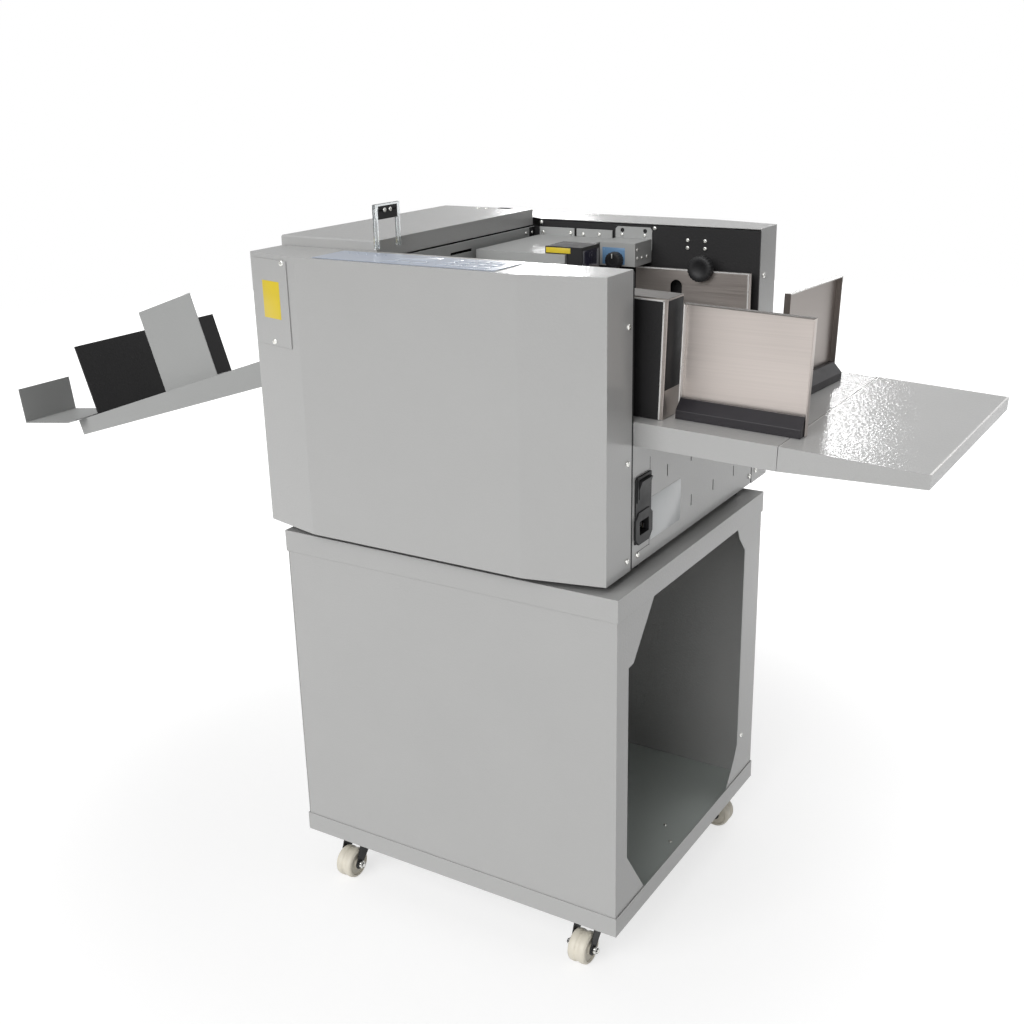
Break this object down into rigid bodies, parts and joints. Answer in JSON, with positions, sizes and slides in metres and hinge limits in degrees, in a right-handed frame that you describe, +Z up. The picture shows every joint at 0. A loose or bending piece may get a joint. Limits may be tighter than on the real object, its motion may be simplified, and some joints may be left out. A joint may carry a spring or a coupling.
{
  "type": "paper creasing machine",
  "caption": "Automatic paper creasing machine with a suction feed table, a lidded creasing head and a sloping delivery tray, on an open-ended cabinet with castors.",
  "frame": {"origin": "on the floor, under the middle of the whole machine's bounding box", "axes": "+X towards the feed table, -Y towards the operator, +Z up"},
  "size_m": [1.6102, 0.625, 1.0984],
  "materials": {
    "grey_paint": "light grey powder coat with a fine orange peel",
    "panel_grey": "light grey satin paint",
    "black_steel": "matt black powder coat",
    "stainless": "brushed stainless sheet",
    "ground_steel": "ground steel",
    "bare_aluminium": "turned aluminium",
    "black_plastic": "black moulding",
    "black_rubber": "black rubber",
    "castor_tread": "cream nylon",
    "clear_acrylic": "clear polished acrylic",
    "panel_overlay": "pale blue grey membrane"
  },
  "bodies": {
    "machine": {"cabinet_top": "grey_paint", "cabinet_base": "grey_paint", "cabinet_front_panel": "grey_paint", "cabinet_rear_panel": "grey_paint", "cabinet_left_panel": "grey_paint", "base_pan": "grey_paint", "right_end_panel": "grey_paint", "power_inlet": "black_plastic", "front_frame_plate": "black_steel", "rear_frame_plate": "black_steel", "front_cover": "grey_paint", "rear_cover": "grey_paint", "access_panel": "grey_paint", "control_panel": "panel_overlay", "unit_wall": "panel_grey", "paper_bed": "stainless", "crease_anvil": "ground_steel", "crease_motor": "black_plastic", "feed_motor": "black_plastic", "drive_belt": "black_rubber", "feed_head": "panel_grey", "blower": "black_plastic", "display_box": "black_plastic", "control_box": "panel_grey", "feed_table": "grey_paint", "table_extension": "grey_paint", "delivery_tray": "panel_grey"},
    "castor_front_left": {"castor_fork_front_left": "black_plastic"},
    "wheel_front_left": {"castor_wheel_front_left": "castor_tread"},
    "castor_front_right": {"castor_fork_front_right": "black_plastic"},
    "wheel_front_right": {"castor_wheel_front_right": "castor_tread"},
    "castor_rear_left": {"castor_fork_rear_left": "black_plastic"},
    "wheel_rear_left": {"castor_wheel_rear_left": "castor_tread"},
    "castor_rear_right": {"castor_fork_rear_right": "black_plastic"},
    "wheel_rear_right": {"castor_wheel_rear_right": "castor_tread"},
    "power_switch": {"power_switch": "black_plastic"},
    "lid": {"lid": "grey_paint", "lid_handle": "clear_acrylic", "handle_block": "black_plastic"},
    "blade_beam": {"blade_beam": "ground_steel"},
    "cam_shaft": {"cam_shaft": "ground_steel"},
    "cam_pinion": {"cam_pinion": "ground_steel"},
    "infeed_lower": {"infeed_lower_roller": "black_rubber"},
    "infeed_upper": {"infeed_upper_roller": "black_rubber"},
    "outfeed_lower": {"outfeed_lower_roller": "black_rubber"},
    "outfeed_upper": {"outfeed_upper_roller": "black_rubber"},
    "motor_pulley": {"motor_pulley": "bare_aluminium"},
    "feed_rotor": {"feed_rotor": "bare_aluminium"},
    "speed_knob": {"speed_knob": "black_plastic"},
    "rear_guide": {"rear_guide": "stainless"},
    "clamp_knob": {"clamp_knob": "black_plastic"},
    "inner_guide": {"inner_guide": "stainless", "inner_guide_face": "black_steel"},
    "side_guide": {"side_guide_plate": "stainless", "side_guide_base": "black_plastic"},
    "tail_stop": {"tail_stop_plate": "stainless", "tail_stop_base": "black_plastic"},
    "tray_stop": {"tray_stop": "black_steel"},
    "tray_side_guide": {"tray_side_guide": "panel_grey"},
    "tray_end_stop": {"tray_end_stop": "panel_grey"}
  },
  "joints": [
    {"name": "castor_swivel_front_left", "type": "hinge", "parent": "machine", "child": "castor_front_left", "pos_m": [-0.0708, -0.2465, 0], "axis": [0, 0, 1], "continuous": true},
    {"name": "wheel_spin_front_left", "type": "hinge", "parent": "castor_front_left", "child": "wheel_front_left", "pos_m": [-0.0708, -0.2735, 0.025], "axis": [1, 0, 0], "continuous": true},
    {"name": "castor_swivel_front_right", "type": "hinge", "parent": "machine", "child": "castor_front_right", "pos_m": [0.3702, -0.2465, 0], "axis": [0, 0, 1], "continuous": true},
    {"name": "wheel_spin_front_right", "type": "hinge", "parent": "castor_front_right", "child": "wheel_front_right", "pos_m": [0.3702, -0.2735, 0.025], "axis": [1, 0, 0], "continuous": true},
    {"name": "castor_swivel_rear_left", "type": "hinge", "parent": "machine", "child": "castor_rear_left", "pos_m": [-0.0708, 0.1735, 0], "axis": [0, 0, 1], "continuous": true},
    {"name": "wheel_spin_rear_left", "type": "hinge", "parent": "castor_rear_left", "child": "wheel_rear_left", "pos_m": [-0.0438, 0.1735, 0.025], "axis": [0, 1, 0], "continuous": true},
    {"name": "castor_swivel_rear_right", "type": "hinge", "parent": "machine", "child": "castor_rear_right", "pos_m": [0.3702, 0.1735, 0], "axis": [0, 0, 1], "continuous": true},
    {"name": "wheel_spin_rear_right", "type": "hinge", "parent": "castor_rear_right", "child": "wheel_rear_right", "pos_m": [0.3972, 0.1735, 0.025], "axis": [0, 1, 0], "continuous": true},
    {"name": "power_switch_rock", "type": "hinge", "parent": "machine", "child": "power_switch", "pos_m": [0.4153, -0.1817, 0.733], "axis": [0, 1, 0], "range_deg": [-16, 0]},
    {"name": "lid_hinge", "type": "hinge", "parent": "machine", "child": "lid", "pos_m": [-0.083, 0.2255, 1.037], "axis": [-1, 0, 0], "range_deg": [0, 80]},
    {"name": "cam_turn", "type": "hinge", "parent": "machine", "child": "cam_shaft", "pos_m": [-0.0778, 0.0035, 0.96], "axis": [0, 1, 0], "range_deg": [0, 180]},
    {"name": "blade_stroke", "type": "slide", "parent": "machine", "child": "blade_beam", "axis": [0, 0, -1], "range_m": [0, 0.004]},
    {"name": "pinion_turn", "type": "hinge", "parent": "machine", "child": "cam_pinion", "pos_m": [-0.0298, -0.2315, 0.96], "axis": [0, 1, 0], "range_deg": [-540, 0]},
    {"name": "infeed_lower_turn", "type": "hinge", "parent": "machine", "child": "infeed_lower", "pos_m": [-0.0198, 0.0035, 0.8583], "axis": [0, 1, 0], "continuous": true},
    {"name": "infeed_upper_turn", "type": "hinge", "parent": "machine", "child": "infeed_upper", "pos_m": [-0.0198, 0.0035, 0.8828], "axis": [0, 1, 0], "continuous": true},
    {"name": "outfeed_lower_turn", "type": "hinge", "parent": "machine", "child": "outfeed_lower", "pos_m": [-0.1438, 0.0035, 0.8583], "axis": [0, 1, 0], "continuous": true},
    {"name": "outfeed_upper_turn", "type": "hinge", "parent": "machine", "child": "outfeed_upper", "pos_m": [-0.1438, 0.0035, 0.8828], "axis": [0, 1, 0], "continuous": true},
    {"name": "motor_pulley_turn", "type": "hinge", "parent": "machine", "child": "motor_pulley", "pos_m": [-0.0778, 0.2385, 0.715], "axis": [0, 1, 0], "continuous": true},
    {"name": "feed_rotor_turn", "type": "hinge", "parent": "machine", "child": "feed_rotor", "pos_m": [0.2472, 0.0035, 0.80247], "axis": [0, 1, 0], "continuous": true},
    {"name": "speed_knob_turn", "type": "hinge", "parent": "machine", "child": "speed_knob", "pos_m": [0.1972, 0.1535, 0.982], "axis": [0, -1, 0], "range_deg": [-135, 135]},
    {"name": "rear_guide_shift", "type": "slide", "parent": "machine", "child": "rear_guide", "axis": [1, 0, 0], "range_m": [-0.005, 0.005]},
    {"name": "clamp_knob_turn", "type": "hinge", "parent": "machine", "child": "clamp_knob", "pos_m": [0.3282, 0.1935, 0.971], "axis": [0, -1, 0], "range_deg": [-180, 180]},
    {"name": "inner_guide_slide", "type": "slide", "parent": "machine", "child": "inner_guide", "axis": [0, 1, 0], "range_m": [-0.02, 0.2]},
    {"name": "side_guide_slide", "type": "slide", "parent": "machine", "child": "side_guide", "axis": [0, 1, 0], "range_m": [-0.035, 0.1]},
    {"name": "tail_stop_slide", "type": "slide", "parent": "machine", "child": "tail_stop", "axis": [0.9995, 0, -0.0332], "range_m": [-0.08, 0.2]},
    {"name": "tray_stop_slide", "type": "slide", "parent": "machine", "child": "tray_stop", "axis": [0.9466, 0, 0.3223], "range_m": [0, 0.15]},
    {"name": "tray_side_guide_slide", "type": "slide", "parent": "machine", "child": "tray_side_guide", "axis": [0, 1, 0], "range_m": [0, 0.25]},
    {"name": "tray_end_stop_slide", "type": "slide", "parent": "machine", "child": "tray_end_stop", "axis": [0, 1, 0], "range_m": [0, 0.2]}
  ],
  "couplings": [
    {"joint": "blade_stroke", "follows": "cam_turn", "m_per_rad": 0.001273},
    {"joint": "pinion_turn", "follows": "cam_turn", "ratio": -3},
    {"joint": "infeed_upper_turn", "follows": "infeed_lower_turn", "ratio": -1},
    {"joint": "outfeed_lower_turn", "follows": "infeed_lower_turn", "ratio": 1},
    {"joint": "outfeed_upper_turn", "follows": "infeed_lower_turn", "ratio": -1},
    {"joint": "motor_pulley_turn", "follows": "infeed_lower_turn", "ratio": 1.3333}
  ]
}
